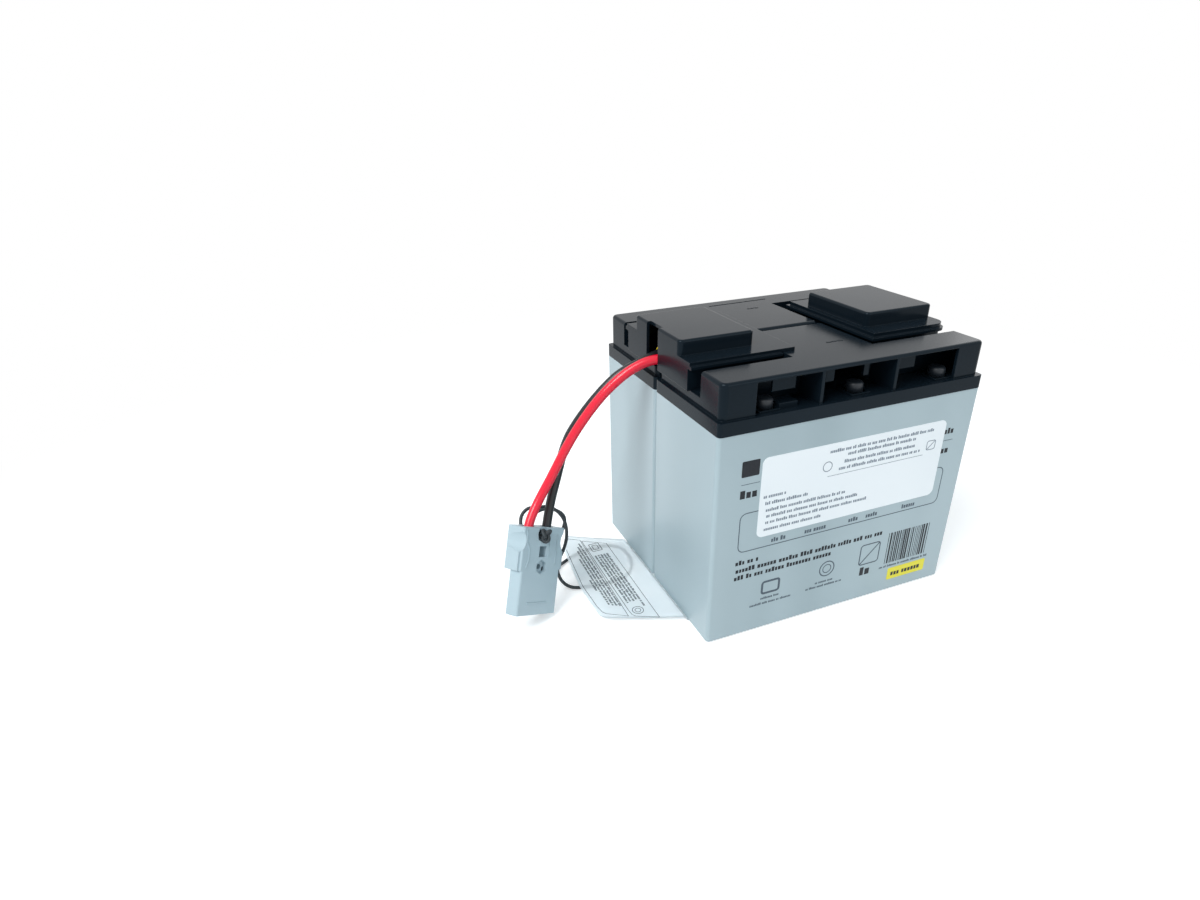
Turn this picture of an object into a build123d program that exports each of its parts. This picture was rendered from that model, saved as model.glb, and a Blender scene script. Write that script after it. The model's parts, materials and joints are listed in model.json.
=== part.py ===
import os
from math import atan, degrees, radians, tan

from build123d import *

os.makedirs("parts", exist_ok=True)

# Battery cartridge: two sealed batteries side by side, with a cover over the terminals at each end,
# two leads to a flat two-pole connector, a pull cord tied to the connector and a pull film below.
# X runs along the batteries, Y from the front to the back, Z up from the table.
# The batteries meet at y = 0. The back battery is the mirror of the front one.

# Cases
case_length = 181.0
battery_width = 76.5
case_front_gap = 0.25
case_draft = 0.5
case_height = 137.6
case_corner = 2.5
case_foot_edge = 1.0
pad_thickness = 0.8
pad_length = 160.0
pad_height = 30.0
pad_heights = (35.0, 105.0)

# Pull film under the pack
film_thickness = 0.4
film_front = -52.0
film_back = 45.0
film_right = 84.0
film_lift = 2.6
film_rise_length = 2.4
film_corner = 5.0
film_tab = ((-130.0, 66.3), (-138.9, 47.5), (-142.8, 3.9), (-142.0, -33.0))

# Lids
band_height = 8.0
block_inset = 2.0
block_seam_gap = 1.5
block_height = 21.0
block_corner = 4.0
block_edge = 2.0
lid_wall = 2.0
window_left = -67.5
window_right = 69.0
divider_places = (-25.5, 25.0)
divider_thickness = 2.0
cell_depth = 18.0
hollow_wall = 3.5
hollow_seam_wall = 4.5
tab_drop = 11.5
tab_thickness = 1.5
tab_behind_wall = 5.75
tab_places = ((-44.0, 15.0), (-15.0, 7.0), (11.0, 5.0), (40.0, 12.0))

# Valve wells and caps
well_places = (-53.0, 7.0, 66.0)
well_length = 15.0
well_width = 13.0
well_wall = 1.5
well_height = 17.0
well_behind_wall = 4.0
notch_width = 9.0
notch_sill = 6.0
cap_radius = 4.6
cap_height = 6.5
cap_edge = 1.2

# Recesses for the terminal covers
recess_floor = 6.0
recess_half_width = 52.0
left_recess_edge = -30.5
right_recess_edge = 25.0

# Terminal covers
cover_wall = 2.0
cover_lip_drop = 1.8
plate_half_width = 42.5
lip_half_width = 44.5
skirt_half_width = 40.5
raised_half_width = 30.0
raised_corner = 3.0
raised_edge = 1.5
left_plate_thickness = 2.0
left_plate_edge = -22.5
left_skirt_edge = -34.0
left_raised_edge = -42.0
left_raised_height = 9.0
right_plate_thickness = 2.5
right_plate_edge = 34.0
right_plate_corner = 8.0
right_lip_overhang = 2.0
right_skirt_edge = 36.0
right_raised_edge = 38.0
right_raised_inset = 1.5
right_raised_height = 9.0
slot_width = 15.6
slot_centre = 5.0
slot_depth = 3.0

# Terminals, bolts and link
terminal_x = 60.0
terminal_y = 16.0
terminal_size = 12.0
terminal_height = 5.0
terminal_edge = 0.8
bolt_radius = 2.5
bolt_clearance = 0.15
bolt_below_lug = 4.6
bolt_head_flats = 8.0
bolt_head_height = 3.5
washer_radius = 4.6
washer_thickness = 1.2
washer_split = 1.0
link_width = 12.0
link_thickness = 1.5

# Ring lugs
lug_thickness = 1.0
lug_ring_radius = 5.25
lug_neck_width = 5.5
barrel_start = 8.8
barrel_end = 15.0
barrel_radius = 3.2
sleeve_start = 9.6
sleeve_end = 23.0
sleeve_gap = 0.1
sleeve_wall = 0.9
red_lug_heading = 34.0
black_lug_heading = 14.0

# Leads
lead_diameter = 6.0
lead_height = 5.7
lead_straight = 9.0

# Connector, leaning on the table beside the pack
connector_foot = (-195.7, -27.2, 17.8)
connector_lean = 18.3
connector_pitch = -23.3
connector_yaw = 23.2
housing_width = 36.1
housing_thickness = 14.9
housing_length = 54.6
housing_edge = 1.2
tongue_width = 34.3
tongue_length = 27.6
tongue_thickness = 10.4
tongue_edge = 1.6
shoulder_swell = 1.5
shoulder_length = 13.5
grip_depth = 2.6
grip_height = 45.9
grip_radius = 8.0
pole_spacing = 16.8
pole_depth = 7.5
pole_bore = 4.5
pole_floor = 29.6
blade_room_width = 11.0
blade_room_front = 2.5
blade_room_back = 9.2
pocket_depth = 2.6
cord_hole = 6.0
cord_hole_height = 50.0
window_width = 6.0
window_length = 6.8
window_height = 39.4
nut_flats = 8.0
nut_height = 29.8
screw_hole_radius = 1.7

# Contacts and their springs
contact_radius = 4.0
contact_start = 29.6
contact_end = 42.0
blade_width = 9.5
blade_thickness = 2.5
blade_depth = 4.0
blade_tip = 5.0
blade_hook = 1.2
spring_width = 8.0
spring_thickness = 0.4
spring_start = 3.0
spring_end = 26.0

# Each arc of a cord takes this share of the shorter run beside it
arc_share = 0.45

# Pull cord and its knot
cord_diameter = 2.3
cord_spacing = 3.2
cord_straight = 6.6
cord_rest_gap = 0.05
knot_radius = 3.2
knot_back = 1.0
knot_front = -2.4
knot_turn_radius = 2.7

# Labels on the front face
label_thickness = 0.2
white_label = (-61.2, 69.2, 68.7, 120.6)
white_label_corner = 4.0
yellow_label = (44.6, 75.5, 8.7, 17.7)
yellow_label_corner = 0.8

# Places worked out from the sizes above
half_length = case_length / 2
case_bottom = film_thickness
case_top = case_bottom + case_height
case_front = -battery_width + case_front_gap
joint_face = -pad_thickness / 2
band_top = case_top + band_height
lid_top = band_top + block_height
floor_height = band_top + recess_floor
block_front = -battery_width + block_inset
block_end = half_length - block_inset
ceiling = lid_top - lid_wall
cell_front = block_front + lid_wall
cell_back = cell_front + cell_depth
cell_end = block_end - lid_wall
well_y = cell_front + well_behind_wall + well_width / 2
tab_y = cell_front + tab_behind_wall
terminal_top = floor_height + terminal_height
lead_z = floor_height + lead_height


def corner_radii(points):
    """Arc radius at each inner point of a cord, as large as its two runs allow."""
    vectors = [Vector(*point) for point in points]
    radii = []
    for before, corner, after in zip(vectors, vectors[1:], vectors[2:]):
        first_run = corner - before
        second_run = after - corner
        half_turn = radians(first_run.get_angle(second_run)) / 2
        shorter_run = min(first_run.length, second_run.length)
        radii.append(arc_share * shorter_run / tan(half_turn))
    return radii


def tangent_plane(points):
    """Plane across the first run of a cord."""
    return Plane(origin=points[0], z_dir=Vector(*points[1]) - Vector(*points[0]))


def save(piece, name):
    """Label a finished piece and write it."""
    piece.label = name
    export_step(piece, f"parts/{name}.step")


# Front case: a block whose outer sides draw in slightly towards the foot
draft_angle = degrees(atan(case_draft / case_height))
with BuildPart() as front_case:
    with BuildSketch(Plane.XY.offset(case_top)) as case_plan:
        with Locations((0, (case_front + joint_face) / 2)):
            Rectangle(case_length, joint_face - case_front)
    extrude(amount=-case_height)
    outer_sides = front_case.faces().filter_by(Axis.X) + front_case.faces().sort_by(Axis.Y)[:1]
    draft(outer_sides, neutral_plane=Plane.XY.offset(case_top), angle=-draft_angle)
    fillet(front_case.edges().group_by(Axis.Z)[1], case_corner)
    fillet(front_case.edges().group_by(Axis.Z)[0], case_foot_edge)
save(front_case.part, "front_case")

with BuildPart() as back_case:
    mirror(front_case.part, about=Plane.XZ)
save(back_case.part, "back_case")

# Foam pads that bond the two cases
for pad_name, pad_middle in zip(("lower_bonding_pad", "upper_bonding_pad"), pad_heights):
    with BuildPart() as bonding_pad:
        with Locations((0, 0, pad_middle)):
            Box(pad_length, pad_thickness, pad_height)
    save(bonding_pad.part, pad_name)

# Front lid: a band over the case and a raised block with open windows, valve wells behind them
# and a recess at each end for the terminal covers
with BuildPart() as front_lid:
    with BuildSketch(Plane.XY.offset(case_top)) as band_plan:
        with Locations((0, (joint_face - battery_width) / 2)):
            RectangleRounded(case_length, joint_face + battery_width, case_corner)
    extrude(amount=band_height)
    with BuildSketch(Plane.XY.offset(band_top)) as block_plan:
        with Locations((0, (block_front - block_seam_gap) / 2)):
            RectangleRounded(2 * block_end, -block_seam_gap - block_front, block_corner)
    extrude(amount=block_height)
    fillet(front_lid.edges().group_by(Axis.Z)[-1], block_edge)

    # Hollow behind the windows
    with BuildSketch(Plane.XY.offset(band_top)) as hollow_plan:
        with Locations((0, (cell_front + cell_back) / 2)):
            Rectangle(2 * cell_end, cell_depth)
        middle_left = divider_places[0] + divider_thickness / 2
        middle_right = right_recess_edge - hollow_wall
        middle_back = -hollow_seam_wall - block_seam_gap
        with Locations(((middle_left + middle_right) / 2, (cell_back + middle_back) / 2)):
            Rectangle(middle_right - middle_left, middle_back - cell_back)
        for place in divider_places:
            with Locations((place, (cell_front + cell_back) / 2)):
                Rectangle(divider_thickness, cell_depth, mode=Mode.SUBTRACT)
    extrude(amount=ceiling - band_top, mode=Mode.SUBTRACT)

    # Window opening through the outer wall, crossed by the dividers
    with BuildSketch(Plane.XY.offset(band_top)) as window_plan:
        with Locations(((window_left + window_right) / 2, (block_front + cell_front) / 2)):
            Rectangle(window_right - window_left, lid_wall)
        for place in divider_places:
            with Locations((place, (block_front + cell_front) / 2)):
                Rectangle(divider_thickness, lid_wall, mode=Mode.SUBTRACT)
    extrude(amount=ceiling - band_top, mode=Mode.SUBTRACT)

    # Valve wells with a notch in their front and back walls
    with BuildSketch(Plane.XY.offset(band_top)) as well_plan:
        with Locations(*[(place, well_y) for place in well_places]):
            Rectangle(well_length, well_width)
            Rectangle(well_length - 2 * well_wall, well_width - 2 * well_wall, mode=Mode.SUBTRACT)
    extrude(amount=well_height)
    with BuildSketch(Plane.XY.offset(band_top + notch_sill)) as notch_plan:
        with Locations(*[(place, well_y) for place in well_places]):
            Rectangle(notch_width, well_width)
    extrude(amount=well_height - notch_sill, mode=Mode.SUBTRACT)

    # Tabs that hang from the top plate
    with BuildSketch(Plane.XY.offset(ceiling)) as tab_plan:
        for place, width in tab_places:
            with Locations((place, tab_y)):
                Rectangle(width, tab_thickness)
    extrude(amount=-tab_drop)

    # Recesses for the terminal covers, open at the end faces and at the joint
    with BuildSketch(Plane.XY.offset(floor_height)) as recess_plan:
        with Locations(((left_recess_edge - half_length) / 2, -recess_half_width / 2)):
            Rectangle(left_recess_edge + half_length, recess_half_width)
        with Locations(((right_recess_edge + half_length) / 2, -recess_half_width / 2)):
            Rectangle(half_length - right_recess_edge, recess_half_width)
    extrude(amount=lid_top - floor_height, mode=Mode.SUBTRACT)
save(front_lid.part, "front_lid")

with BuildPart() as back_lid:
    mirror(front_lid.part, about=Plane.XZ)
save(back_lid.part, "back_lid")

# Valve caps, one in each well
with BuildPart() as front_valve_caps:
    for place in well_places:
        with BuildSketch(Plane((place, well_y, band_top), x_dir=(1, 0, 0), z_dir=(0, -1, 0))) as cap_half:
            with Locations((cap_radius / 2, cap_height / 2)):
                Rectangle(cap_radius, cap_height)
            fillet(cap_half.vertices().group_by(Axis.Y)[-1].sort_by(Axis.X)[-1], cap_edge)
        revolve(axis=Axis((place, well_y, band_top), (0, 0, 1)))
save(front_valve_caps.part, "front_valve_caps")

with BuildPart() as back_valve_caps:
    mirror(front_valve_caps.part, about=Plane.XZ)
save(back_valve_caps.part, "back_valve_caps")

# Left cover: a plate over the joint with a lip and a skirt below it, and a raised hollow block on top
left_plate_top = lid_top + left_plate_thickness
left_raised_top = left_plate_top + left_raised_height
with BuildPart() as left_cover:
    with BuildSketch(Plane.XY.offset(left_plate_top)) as left_raised_plan:
        with Locations(((left_raised_edge - half_length) / 2, 0)):
            RectangleRounded(half_length + left_raised_edge, 2 * raised_half_width, raised_corner)
    extrude(amount=left_raised_height)
    fillet(left_cover.edges().group_by(Axis.Z)[-1], raised_edge)
    with BuildSketch(Plane.XY.offset(lid_top)) as left_plate_plan:
        with Locations(((left_plate_edge - half_length) / 2, 0)):
            Rectangle(half_length + left_plate_edge, 2 * plate_half_width)
    extrude(amount=left_plate_thickness)
    left_lip_edge = left_recess_edge - right_lip_overhang / 2
    with BuildSketch(Plane.XY.offset(lid_top)) as left_lip_plan:
        with Locations(((left_lip_edge - half_length) / 2, 0)):
            Rectangle(half_length + left_lip_edge, 2 * lip_half_width)
    extrude(amount=-cover_lip_drop)
    with BuildSketch(Plane.XY.offset(floor_height)) as left_skirt_plan:
        with Locations(((left_skirt_edge - half_length) / 2, 0)):
            Rectangle(half_length + left_skirt_edge, 2 * skirt_half_width)
    extrude(amount=lid_top - floor_height)
    with BuildSketch(Plane.XY.offset(floor_height)) as left_hollow_plan:
        with Locations(((left_skirt_edge - half_length) / 2, 0)):
            Rectangle(half_length + left_skirt_edge - 2 * cover_wall, 2 * (skirt_half_width - cover_wall))
    extrude(amount=lid_top - cover_lip_drop - floor_height, mode=Mode.SUBTRACT)
    with BuildSketch(Plane.XY.offset(floor_height)) as left_dome_plan:
        with Locations(((left_raised_edge - half_length) / 2, 0)):
            Rectangle(half_length + left_raised_edge - 2 * cover_wall, 2 * (raised_half_width - cover_wall))
    extrude(amount=left_raised_top - cover_wall - floor_height, mode=Mode.SUBTRACT)
    with BuildSketch(Plane.XY.offset(floor_height)) as slot_plan:
        with Locations((-half_length + slot_depth / 2, slot_centre)):
            Rectangle(slot_depth, slot_width)
    extrude(amount=left_raised_top - floor_height, mode=Mode.SUBTRACT)
save(left_cover.part, "left_cover")

# Right cover: the same build, with rounded outer corners and an end face flush with the case
right_plate_top = lid_top + right_plate_thickness
right_raised_top = right_plate_top + right_raised_height
right_raised_end = half_length - right_raised_inset
with BuildPart() as right_cover:
    with BuildSketch(Plane.XY.offset(right_plate_top)) as right_raised_plan:
        with Locations(((right_raised_edge + right_raised_end) / 2, 0)):
            RectangleRounded(right_raised_end - right_raised_edge, 2 * raised_half_width, raised_corner)
    extrude(amount=right_raised_height)
    fillet(right_cover.edges().group_by(Axis.Z)[-1], raised_edge)
    with BuildSketch(Plane.XY.offset(lid_top)) as right_plate_plan:
        with Locations(((right_plate_edge + half_length) / 2, 0)):
            Rectangle(half_length - right_plate_edge, 2 * plate_half_width)
        fillet(right_plate_plan.vertices().group_by(Axis.X)[-1], right_plate_corner)
    extrude(amount=right_plate_thickness)
    right_lip_edge = right_plate_edge - right_lip_overhang
    with BuildSketch(Plane.XY.offset(lid_top)) as right_lip_plan:
        with Locations(((right_lip_edge + half_length) / 2, 0)):
            Rectangle(half_length - right_lip_edge, 2 * lip_half_width)
        fillet(right_lip_plan.vertices().group_by(Axis.X)[-1], right_plate_corner)
    extrude(amount=-cover_lip_drop)
    with BuildSketch(Plane.XY.offset(floor_height)) as right_skirt_plan:
        with Locations(((right_skirt_edge + half_length) / 2, 0)):
            Rectangle(half_length - right_skirt_edge, 2 * skirt_half_width)
        fillet(right_skirt_plan.vertices().group_by(Axis.X)[-1], right_plate_corner - cover_wall)
    extrude(amount=lid_top - floor_height)
    with BuildSketch(Plane.XY.offset(floor_height)) as right_hollow_plan:
        with Locations(((right_skirt_edge + half_length) / 2, 0)):
            Rectangle(half_length - right_skirt_edge - 2 * cover_wall, 2 * (skirt_half_width - cover_wall))
        fillet(right_hollow_plan.vertices().group_by(Axis.X)[-1], right_plate_corner - 2 * cover_wall)
    extrude(amount=lid_top - cover_lip_drop - floor_height, mode=Mode.SUBTRACT)
    with BuildSketch(Plane.XY.offset(floor_height)) as right_dome_plan:
        with Locations(((right_raised_edge + right_raised_end) / 2, 0)):
            Rectangle(
                right_raised_end - right_raised_edge - 2 * cover_wall,
                2 * (raised_half_width - cover_wall),
            )
    extrude(amount=right_raised_top - cover_wall - floor_height, mode=Mode.SUBTRACT)
save(right_cover.part, "right_cover")

# Terminals on the recess floors
terminal_places = {
    "front_left_terminal": (-terminal_x, -terminal_y),
    "front_right_terminal": (terminal_x, -terminal_y),
    "back_left_terminal": (-terminal_x, terminal_y),
    "back_right_terminal": (terminal_x, terminal_y),
}
for terminal_name, place in terminal_places.items():
    with BuildPart() as terminal:
        with BuildSketch(Plane.XY.offset(floor_height)) as terminal_plan:
            with Locations(place):
                RectangleRounded(terminal_size, terminal_size, terminal_edge)
                Circle(bolt_radius + bolt_clearance, mode=Mode.SUBTRACT)
        extrude(amount=terminal_height)
    save(terminal.part, terminal_name)

# Link bar that joins the two batteries at the right end
with BuildPart() as link_bar:
    with BuildSketch(Plane.XY.offset(terminal_top)) as link_plan:
        with Locations((terminal_x, 0)):
            SlotCenterToCenter(2 * terminal_y, link_width, rotation=90)
        with Locations((terminal_x, -terminal_y), (terminal_x, terminal_y)):
            Circle(bolt_radius + bolt_clearance, mode=Mode.SUBTRACT)
    extrude(amount=link_thickness)
save(link_bar.part, "link_bar")

# Split spring washers and hexagon bolts, on the lugs at the left and on the link at the right
seat_heights = {-terminal_x: terminal_top + lug_thickness, terminal_x: terminal_top + link_thickness}
with BuildPart() as spring_washers:
    for place_x, seat in seat_heights.items():
        with BuildSketch(Plane.XY.offset(seat)) as washer_plan:
            with Locations((place_x, -terminal_y), (place_x, terminal_y)):
                Circle(washer_radius)
                Circle(bolt_radius + bolt_clearance, mode=Mode.SUBTRACT)
            with Locations((place_x, -terminal_y), (place_x, terminal_y)):
                with Locations((washer_radius / 2, 0)):
                    Rectangle(washer_radius, washer_split, mode=Mode.SUBTRACT)
        extrude(amount=washer_thickness)
save(spring_washers.part, "spring_washers")

with BuildPart() as terminal_bolts:
    for place_x, seat in seat_heights.items():
        with BuildSketch(Plane.XY.offset(seat + washer_thickness)) as head_plan:
            with Locations((place_x, -terminal_y), (place_x, terminal_y)):
                RegularPolygon(bolt_head_flats / 2, 6, major_radius=False)
        extrude(amount=bolt_head_height)
        with BuildSketch(Plane.XY.offset(seat + washer_thickness)) as shank_plan:
            with Locations((place_x, -terminal_y), (place_x, terminal_y)):
                Circle(bolt_radius)
        extrude(amount=terminal_top - bolt_below_lug - seat - washer_thickness)
save(terminal_bolts.part, "terminal_bolts")

# Ring lugs with their barrels and yellow sleeves, each turned towards the cable slot
lug_planes = {
    "red": Plane((-terminal_x, -terminal_y, terminal_top)).rotated((0, 0, 180 - red_lug_heading)),
    "black": Plane((-terminal_x, terminal_y, terminal_top)).rotated((0, 0, 180 + black_lug_heading)),
}
for colour, lug_plane in lug_planes.items():
    barrel_plane = Plane(
        lug_plane.from_local_coords((barrel_start, 0, lead_z - terminal_top)),
        x_dir=lug_plane.y_dir,
        z_dir=lug_plane.x_dir,
    )
    with BuildPart() as lug:
        with BuildSketch(lug_plane) as ring_plan:
            Circle(lug_ring_radius)
            with Locations((barrel_start / 2, 0)):
                Rectangle(barrel_start, lug_neck_width)
            Circle(bolt_radius + bolt_clearance, mode=Mode.SUBTRACT)
        extrude(amount=lug_thickness)
        with BuildSketch(barrel_plane) as barrel_plan:
            Circle(barrel_radius)
        extrude(amount=barrel_end - barrel_start)
    save(lug.part, f"{colour}_lug")
    with BuildPart() as lug_sleeve:
        with BuildSketch(barrel_plane.offset(sleeve_start - barrel_start)) as sleeve_plan:
            Circle(barrel_radius + sleeve_gap + sleeve_wall)
            Circle(barrel_radius + sleeve_gap, mode=Mode.SUBTRACT)
        extrude(amount=sleeve_end - sleeve_start)
    save(lug_sleeve.part, f"{colour}_lug_sleeve")

# Connector frame: x across the housing, y through it, z along it towards the leads
connector_location = (
    Location(connector_foot)
    * Location((0, 0, 0), (0, connector_lean, 0))
    * Location((0, 0, 0), (connector_pitch, 0, 0))
    * Location((0, 0, 0), (0, 0, connector_yaw))
)
connector = Plane(connector_location)
wide_face = Plane(connector.origin, x_dir=connector.x_dir, z_dir=-connector.y_dir)
housing_middle = housing_width / 2
pole_places = {
    "red": housing_middle - pole_spacing / 2,
    "black": housing_middle + pole_spacing / 2,
}

with BuildPart() as connector_housing:
    upper_length = housing_length - tongue_length
    with BuildSketch(connector.offset(tongue_length)) as upper_plan:
        with Locations((housing_middle, housing_thickness / 2)):
            RectangleRounded(housing_width, housing_thickness, housing_edge)
    extrude(amount=upper_length)
    with BuildSketch(connector) as tongue_plan:
        with Locations((housing_middle, tongue_thickness / 2)):
            RectangleRounded(tongue_width, tongue_thickness, tongue_edge)
    extrude(amount=tongue_length)

    # Shoulders below the finger grips, wider at the front than at the back
    shoulder_middle = (housing_middle, tongue_length + shoulder_length / 2)
    with BuildSketch(wide_face.offset(-housing_edge)) as shoulder_front:
        with Locations(shoulder_middle):
            Rectangle(housing_width + 2 * shoulder_swell, shoulder_length)
    with BuildSketch(wide_face.offset(-housing_thickness + housing_edge)) as shoulder_back:
        with Locations(shoulder_middle):
            Rectangle(housing_width, shoulder_length)
    loft()

    # Finger grips: round scoops that run out towards the back
    for side in (-1, 1):
        grip_x = housing_middle + side * (housing_width / 2 + grip_radius - grip_depth)
        grip_axis = connector.y_dir * housing_thickness + connector.x_dir * side * grip_depth
        grip_origin = connector.from_local_coords((grip_x, 0, grip_height))
        with BuildSketch(Plane(grip_origin, x_dir=connector.z_dir, z_dir=grip_axis)) as grip_round:
            Circle(grip_radius)
        extrude(amount=housing_thickness, both=True, mode=Mode.SUBTRACT)

    # Bores for the leads and rooms for the contact blades
    for place in pole_places.values():
        with BuildSketch(connector.offset(pole_floor)) as bore_plan:
            with Locations((place, pole_depth)):
                Circle(pole_bore)
        extrude(amount=housing_length - pole_floor, mode=Mode.SUBTRACT)
        with BuildSketch(connector) as room_plan:
            with Locations((place, (blade_room_front + blade_room_back) / 2)):
                Rectangle(blade_room_width, blade_room_back - blade_room_front)
        extrude(amount=pole_floor, mode=Mode.SUBTRACT)

    # Pointed pocket with the hole for the pull cord, open at the top edge
    with BuildSketch(wide_face) as pocket_plan:
        with BuildLine() as pocket_outline:
            Polyline(
                (housing_middle - 4.2, housing_length),
                (housing_middle - 5.6, cord_hole_height + 0.5),
                (housing_middle - 4.6, cord_hole_height - 3.2),
                (housing_middle - 0.4, cord_hole_height - 4.8),
                (housing_middle + 4.2, cord_hole_height - 3.0),
                (housing_middle + 5.4, cord_hole_height + 0.5),
                (housing_middle + 3.4, housing_length),
                close=True,
            )
        make_face()
    extrude(amount=-pocket_depth, mode=Mode.SUBTRACT)
    with BuildSketch(wide_face) as hole_plan:
        with Locations((housing_middle, cord_hole_height)):
            Rectangle(cord_hole, cord_hole)
        with Locations((housing_middle, window_height)):
            Rectangle(window_width, window_length)
        with Locations((housing_middle, nut_height)):
            Circle(screw_hole_radius)
    extrude(amount=-housing_thickness, mode=Mode.SUBTRACT)
    with BuildSketch(wide_face) as nut_plan:
        with Locations((housing_middle, nut_height)):
            RegularPolygon(nut_flats / 2, 6, major_radius=False, rotation=30)
    extrude(amount=-pocket_depth, mode=Mode.SUBTRACT)
save(connector_housing.part, "connector_housing")

# Contacts: a round barrel for the lead and a flat blade with a hooked tip
for colour, place in pole_places.items():
    with BuildPart() as contact:
        with BuildSketch(connector.offset(contact_start)) as contact_plan:
            with Locations((place, pole_depth)):
                Circle(contact_radius)
        extrude(amount=contact_end - contact_start)
        side_plane = Plane(
            connector.from_local_coords((place, 0, 0)), x_dir=connector.y_dir, z_dir=connector.x_dir
        )
        blade_middle = blade_depth + blade_thickness / 2
        with BuildSketch(side_plane) as blade_side:
            with Locations((blade_middle, (blade_tip + contact_start) / 2)):
                Rectangle(blade_thickness, contact_start - blade_tip)
            with Locations((blade_middle - blade_hook / 2, blade_tip + blade_thickness)):
                Rectangle(blade_thickness + blade_hook, 2 * blade_thickness)
        extrude(amount=blade_width / 2, both=True)
    save(contact.part, f"{colour}_contact")

with BuildPart() as contact_springs:
    for place in pole_places.values():
        spring_plane = Plane(
            connector.from_local_coords((place, 0, 0)), x_dir=connector.y_dir, z_dir=connector.x_dir
        )
        seat_depth = blade_room_back
        crest_depth = blade_depth + blade_thickness + spring_thickness
        spring_middle = (spring_start + spring_end) / 2
        with BuildSketch(spring_plane) as spring_side:
            with BuildLine() as spring_outline:
                ThreePointArc(
                    (seat_depth, spring_start), (crest_depth, spring_middle), (seat_depth, spring_end)
                )
                Line((seat_depth, spring_end), (seat_depth - spring_thickness, spring_end))
                ThreePointArc(
                    (seat_depth - spring_thickness, spring_end),
                    (crest_depth - spring_thickness, spring_middle),
                    (seat_depth - spring_thickness, spring_start),
                )
                Line((seat_depth - spring_thickness, spring_start), (seat_depth, spring_start))
            make_face()
        extrude(amount=spring_width / 2, both=True)
save(contact_springs.part, "contact_springs")

# Routes of the leads, from the barrel of the lug to the barrel of the contact
lug_lift = lead_z - terminal_top
red_lead_points = (
    tuple(lug_planes["red"].from_local_coords((barrel_end, 0, lug_lift))),
    tuple(lug_planes["red"].from_local_coords((barrel_end + lead_straight, 0, lug_lift))),
    (-88.7, 0.7, 158.0),
    (-97.7, 3.0, 155.9),
    (-109.2, 4.7, 149.9),
    (-122.7, 7.0, 138.0),
    (-135.3, 10.0, 121.3),
    (-145.3, 12.0, 105.0),
    (-156.0, 13.0, 85.2),
    (-166.7, 11.0, 70.2),
    tuple(connector.from_local_coords((pole_places["red"], pole_depth, housing_length))),
    tuple(connector.from_local_coords((pole_places["red"], pole_depth, contact_end))),
)
black_lead_points = (
    tuple(lug_planes["black"].from_local_coords((barrel_end, 0, lug_lift))),
    tuple(lug_planes["black"].from_local_coords((barrel_end + lead_straight, 0, lug_lift))),
    (-92.1, 9.1, 155.6),
    (-98.5, 9.3, 153.2),
    (-104.1, 10.3, 150.8),
    (-112.2, 11.6, 146.2),
    (-123.5, 13.7, 134.9),
    (-134.7, 16.5, 120.4),
    (-143.6, 19.3, 104.9),
    (-151.1, 18.3, 80.1),
    (-155.9, 16.5, 67.4),
    tuple(connector.from_local_coords((pole_places["black"], pole_depth, housing_length))),
    tuple(connector.from_local_coords((pole_places["black"], pole_depth, contact_end))),
)

# Route of the pull cord: from the knot through the housing, over its top, down to the table,
# round under the film and back by the same way to the knot
cord_left = housing_middle - cord_spacing / 2
cord_right = housing_middle + cord_spacing / 2
cord_rest = cord_diameter / 2 + cord_rest_gap
pull_cord_points = (
    tuple(connector.from_local_coords((cord_left, knot_back, cord_hole_height))),
    tuple(connector.from_local_coords((cord_left, knot_back + cord_straight, cord_hole_height))),
    (-175.7, 12.2, 50.7),
    (-179.5, 16.6, 54.5),
    (-177.8, 20.8, 59.9),
    (-171.6, 22.3, 62.9),
    (-163.3, 23.2, 59.6),
    (-155.9, 26.3, 57.3),
    (-149.2, 27.1, 52.4),
    (-144.6, 25.0, 45.3),
    (-144.5, 20.4, 36.8),
    (-148.4, 15.6, 29.2),
    (-153.7, 12.7, 23.2),
    (-155.4, 13.5, 15.0),
    (-153.4, 13.7, 6.0),
    (-150.4, 11.2, 2.0),
    (-146.5, 7.2, cord_rest),
    (-139.0, 4.6, cord_rest),
    (-126.0, 2.6, cord_rest),
    (-113.0, 3.0, cord_rest),
    (-103.5, 8.0, cord_rest),
    (-97.6, 18.1, cord_rest),
    (-95.8, 30.0, cord_rest),
    (-98.5, 40.5, cord_rest),
    (-107.0, 46.2, cord_rest),
    (-121.0, 46.5, cord_rest),
    (-135.0, 42.5, cord_rest),
    (-147.0, 35.0, 1.5),
    (-153.5, 29.0, 6.0),
    (-156.8, 24.5, 14.5),
    (-155.6, 21.5, 24.5),
    (-151.4, 22.4, 33.5),
    (-147.5, 25.5, 40.4),
    (-148.6, 29.6, 45.6),
    (-152.9, 31.4, 49.5),
    (-160.1, 31.5, 50.0),
    (-167.8, 27.8, 50.7),
    (-173.1, 20.2, 50.3),
    (-172.0, 12.1, 50.2),
    tuple(connector.from_local_coords((cord_right, knot_back + cord_straight, cord_hole_height))),
    tuple(connector.from_local_coords((cord_right, knot_back, cord_hole_height))),
)

with BuildPart() as red_lead:
    with BuildLine():
        FilletPolyline(*red_lead_points, radius=corner_radii(red_lead_points))
    with BuildSketch(tangent_plane(red_lead_points)) as red_section:
        Circle(lead_diameter / 2)
    sweep()
save(red_lead.part, "red_lead")

with BuildPart() as black_lead:
    with BuildLine():
        FilletPolyline(*black_lead_points, radius=corner_radii(black_lead_points))
    with BuildSketch(tangent_plane(black_lead_points)) as black_section:
        Circle(lead_diameter / 2)
    sweep()
save(black_lead.part, "black_lead")

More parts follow.
